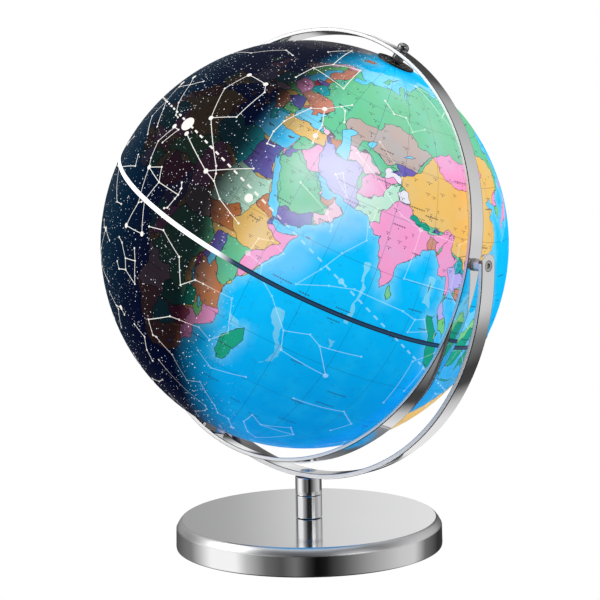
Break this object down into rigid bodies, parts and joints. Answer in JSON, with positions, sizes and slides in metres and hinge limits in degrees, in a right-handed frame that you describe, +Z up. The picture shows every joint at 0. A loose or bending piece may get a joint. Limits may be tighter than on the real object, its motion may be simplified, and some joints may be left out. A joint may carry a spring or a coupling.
{
  "type": "celestial globe",
  "caption": "Illuminated terrestrial and celestial desk globe in a tilting full meridian ring, held by a half-ring yoke on a short stem and a weighted round metal base.",
  "frame": {"origin": "centre of the base's underside, on the surface that the globe stands on", "axes": "+Z up; X along the horizontal pivot axis of the meridian ring; the yoke lies in the XZ plane; the ring's top leans towards +Y"},
  "size_m": [0.265, 0.228, 0.2929],
  "materials": {
    "chrome": "polished chrome plate",
    "dark_chrome": "polished dark chrome plate",
    "satin_steel": "finely brushed, almost polished stainless steel",
    "zinc": "bright zinc plate",
    "black_steel": "matt black paint",
    "cast_iron": "as cast",
    "foam": "non-slip foam rubber",
    "nylon": "natural nylon",
    "black_plastic": "moulded black plastic",
    "white_plastic": "moulded white plastic",
    "opal": "opal plastic",
    "led": "light emitters on a white board",
    "globe_print": "printed and gloss varnished plastic shell",
    "seam": "translucent white plastic",
    "dial": "dark bronze lacquer with an hour scale"
  },
  "bodies": {
    "stand": {"base_pad": "foam", "base_bottom_plate": "black_steel", "base_weight": "cast_iron", "base_shell": "satin_steel", "base_washer": "zinc", "base_nut": "zinc", "stem_rod": "zinc", "stem_lower": "chrome", "stem_upper": "chrome", "yoke": "chrome", "yoke_screw": "zinc", "pivot_screw_left": "zinc", "pivot_screw_right": "zinc", "pivot_washer_left": "nylon", "pivot_washer_right": "nylon", "pivot_spacer_left": "chrome", "pivot_spacer_right": "chrome", "pivot_nut_left": "zinc", "pivot_nut_right": "zinc"},
    "meridian": {"meridian_ring": "chrome", "north_stud": "zinc", "north_spacer": "chrome", "north_cap_nut": "dark_chrome", "north_lock_nut": "zinc", "south_spacer": "chrome", "south_clip": "zinc", "dc_inlet": "black_plastic", "lamp_tube": "zinc", "lamp_lead": "black_plastic", "lamp_holder": "white_plastic", "led_board": "led", "lamp_diffuser": "opal"},
    "globe": {"north_hemisphere": "globe_print", "south_hemisphere": "globe_print", "equator_ring": "seam", "north_bushing": "white_plastic", "south_bushing": "white_plastic"},
    "hour_dial": {"hour_dial": "dial"}
  },
  "joints": [
    {"name": "ring_tilt", "type": "hinge", "parent": "stand", "child": "meridian", "pos_m": [0, 0, 0.173], "axis": [1, 0, 0], "continuous": true},
    {"name": "globe_spin", "type": "hinge", "parent": "meridian", "child": "globe", "pos_m": [0, 0, 0.173], "axis": [0.3987, 0.2312, 0.8874], "continuous": true},
    {"name": "dial_turn", "type": "hinge", "parent": "globe", "child": "hour_dial", "pos_m": [0.04586, 0.02658, 0.27506], "axis": [0.3987, 0.2312, 0.8874], "continuous": true}
  ]
}
